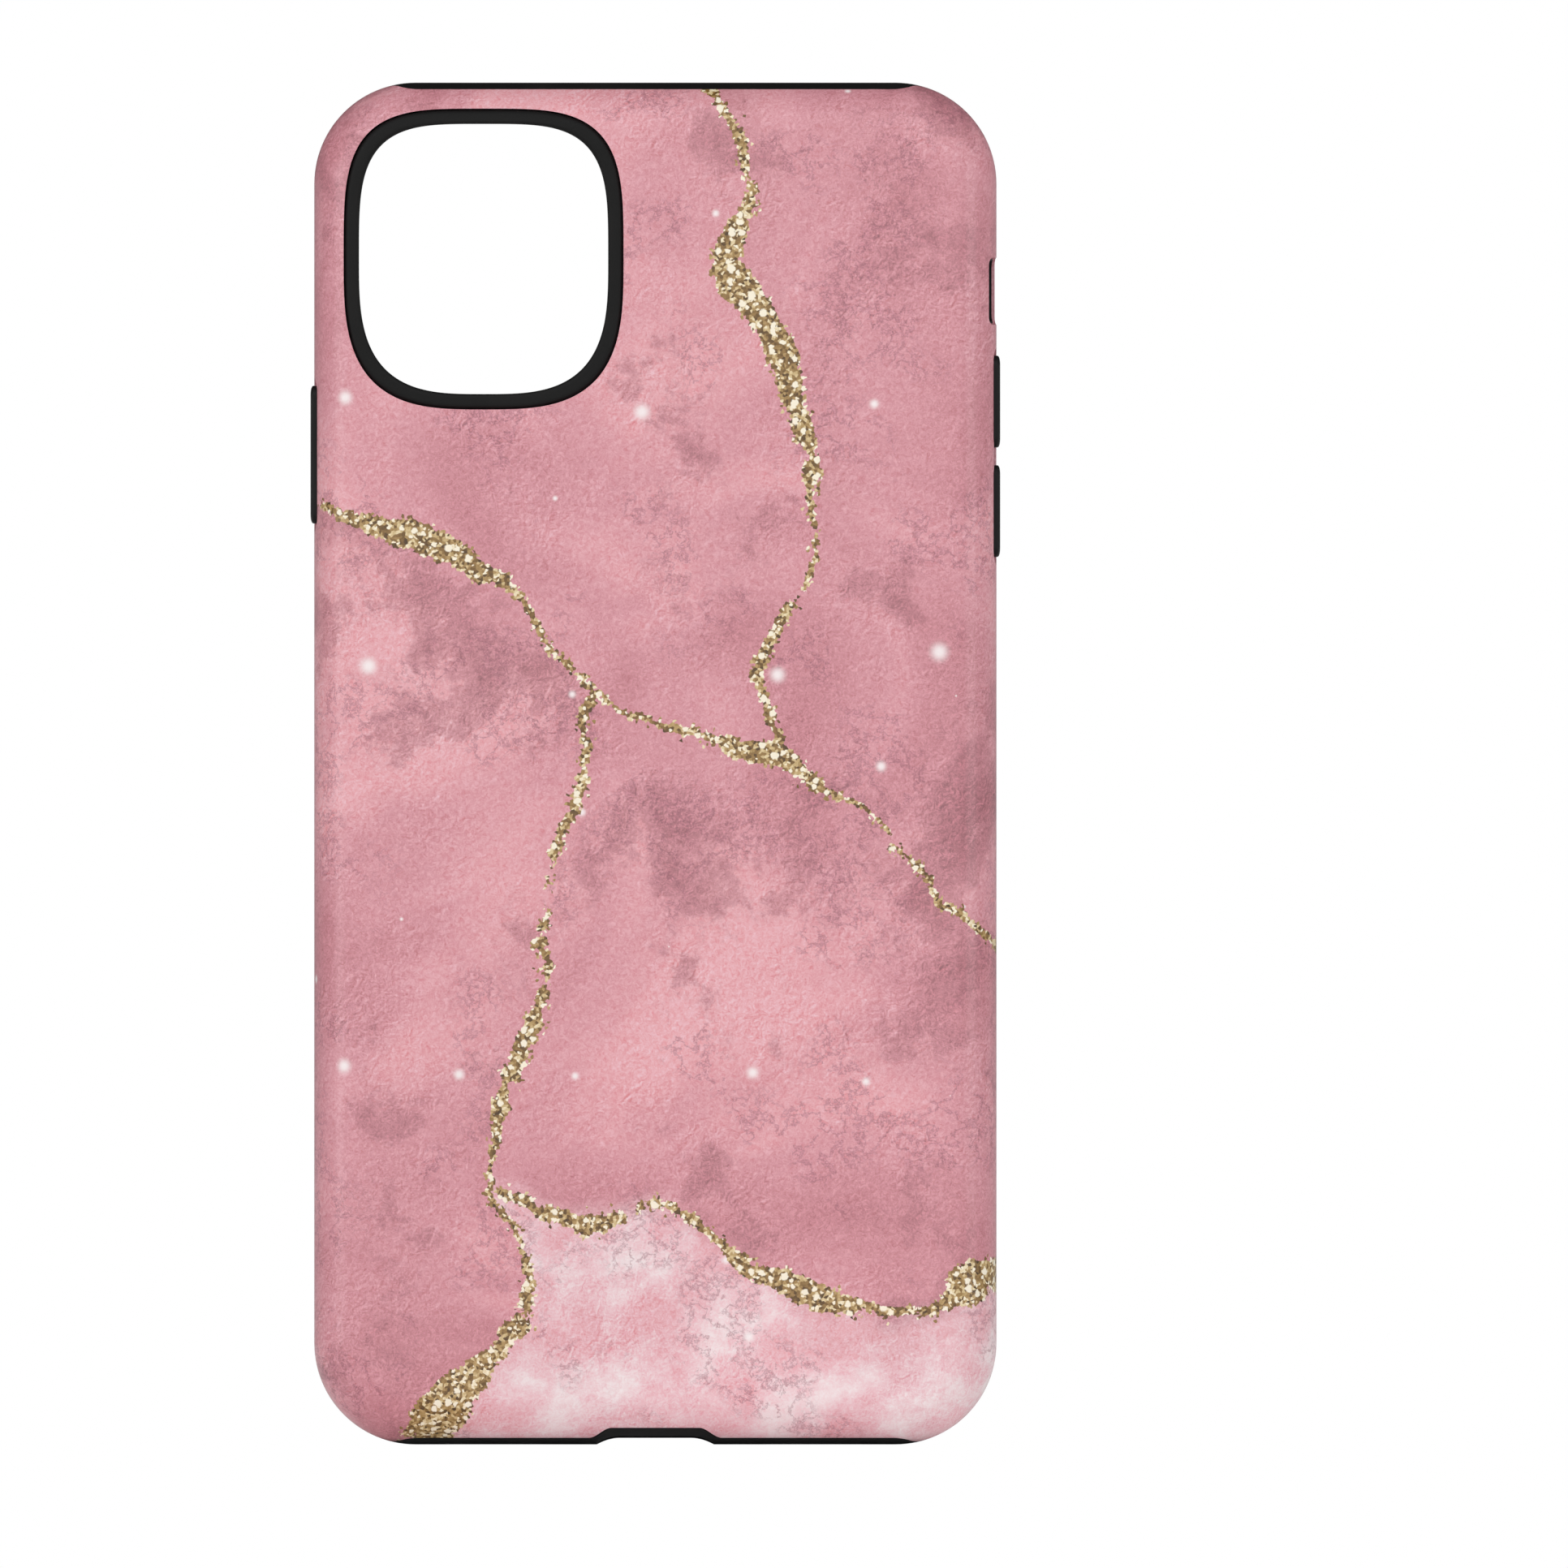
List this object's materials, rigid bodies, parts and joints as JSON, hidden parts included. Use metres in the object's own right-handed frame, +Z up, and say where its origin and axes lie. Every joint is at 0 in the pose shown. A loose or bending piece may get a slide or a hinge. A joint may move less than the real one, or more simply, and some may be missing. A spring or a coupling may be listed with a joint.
{
  "type": "phone case",
  "caption": "Two-layer phone case: glossy printed hard shell over a black flexible liner, with side button covers and openings for camera, mute switch, port and speakers.",
  "frame": {"origin": "centre of the flat seat inside the liner, where the phone's back rests", "axes": "+Z up the length of the case, -Y out of the printed back, +Y out of the screen side, volume buttons at +X, camera opening towards -X and +Z"},
  "size_m": [0.0826, 0.0115, 0.163],
  "materials": {
    "printed_shell": "glossy clear coat over a rose marble print with gold glitter veins",
    "liner_rubber": "satin moulded thermoplastic rubber",
    "button_rubber": "satin moulded thermoplastic rubber, smooth on the pressed face"
  },
  "bodies": {
    "case": {"outer_shell": "printed_shell", "inner_liner": "liner_rubber"},
    "volume_up": {"volume_up_cover": "button_rubber"},
    "volume_down": {"volume_down_cover": "button_rubber"},
    "side_button": {"side_button_cover": "button_rubber"}
  },
  "joints": [
    {"name": "volume_up_press", "type": "slide", "parent": "case", "child": "volume_up", "axis": [-1, 0, 0], "range_m": [0, 0.0004], "stiffness_N_per_m": 3000},
    {"name": "volume_down_press", "type": "slide", "parent": "case", "child": "volume_down", "axis": [-1, 0, 0], "range_m": [0, 0.0004], "stiffness_N_per_m": 3000},
    {"name": "side_button_press", "type": "slide", "parent": "case", "child": "side_button", "axis": [1, 0, 0], "range_m": [0, 0.0004], "stiffness_N_per_m": 3000}
  ]
}
